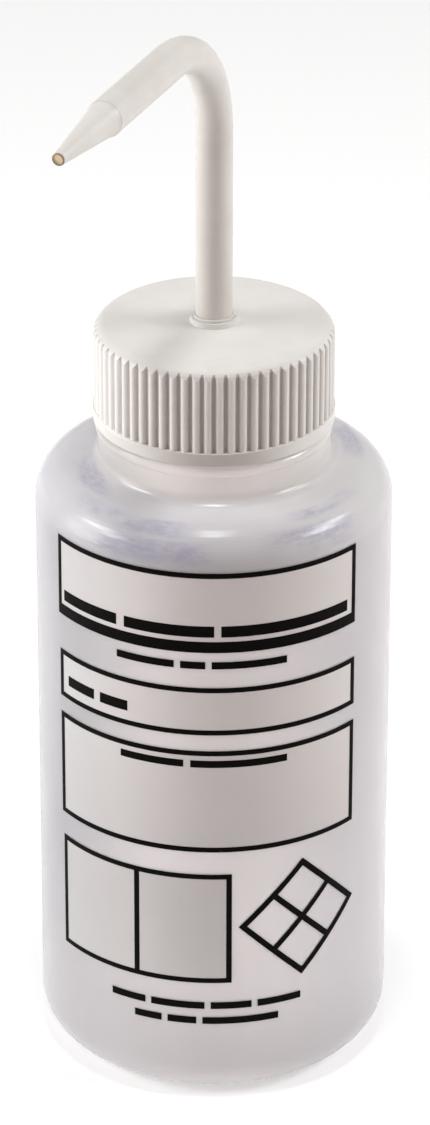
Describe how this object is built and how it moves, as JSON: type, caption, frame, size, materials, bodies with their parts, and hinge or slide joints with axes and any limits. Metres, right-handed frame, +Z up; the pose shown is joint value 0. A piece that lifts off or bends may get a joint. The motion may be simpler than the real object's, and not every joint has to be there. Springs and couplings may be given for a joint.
{
  "type": "wash bottle",
  "caption": "Squeeze wash bottle with a round shoulder, ribbed screw cap, vented insert, dip tube and a swivelling swan-neck spout ending in a tapered jet",
  "frame": {"origin": "on the bottle's axis, on the plane that it stands on", "axes": "+Z up along the bottle's axis, -Y towards the front of the bottle, +X to the right seen from the front"},
  "size_m": [0.076, 0.1097, 0.2397],
  "materials": {
    "bottle_film": "milky translucent, soft sheen",
    "cap_plastic": "satin ivory",
    "tube_plastic": "satin off-white",
    "washer_foam": "matt pale grey",
    "ball_steel": "polished"
  },
  "bodies": {
    "bottle": {"bottle": "bottle_film"},
    "closure": {"closure_insert": "cap_plastic", "sealing_washer": "washer_foam", "vent_cage": "tube_plastic", "dip_tube": "tube_plastic"},
    "cap": {"screw_cap": "cap_plastic"},
    "spout": {"delivery_tube": "tube_plastic", "jet_tip": "tube_plastic"},
    "ball": {"vent_ball": "ball_steel"}
  },
  "joints": [
    {"name": "closure_rise", "type": "slide", "parent": "bottle", "child": "closure", "axis": [0, 0, 1], "range_m": [0, 0.02]},
    {"name": "cap_turn", "type": "hinge", "parent": "closure", "child": "cap", "pos_m": [0, 0, 0.158], "axis": [0, 0, 1], "range_deg": [0, 1800]},
    {"name": "spout_swivel", "type": "hinge", "parent": "closure", "child": "spout", "pos_m": [0, 0, 0.16], "axis": [0, 0, 1], "continuous": true},
    {"name": "vent_lift", "type": "slide", "parent": "closure", "child": "ball", "axis": [0, 0, 1], "range_m": [0, 0.0015]}
  ],
  "couplings": [
    {"joint": "closure_rise", "follows": "cap_turn", "m_per_rad": 0.0006366}
  ]
}
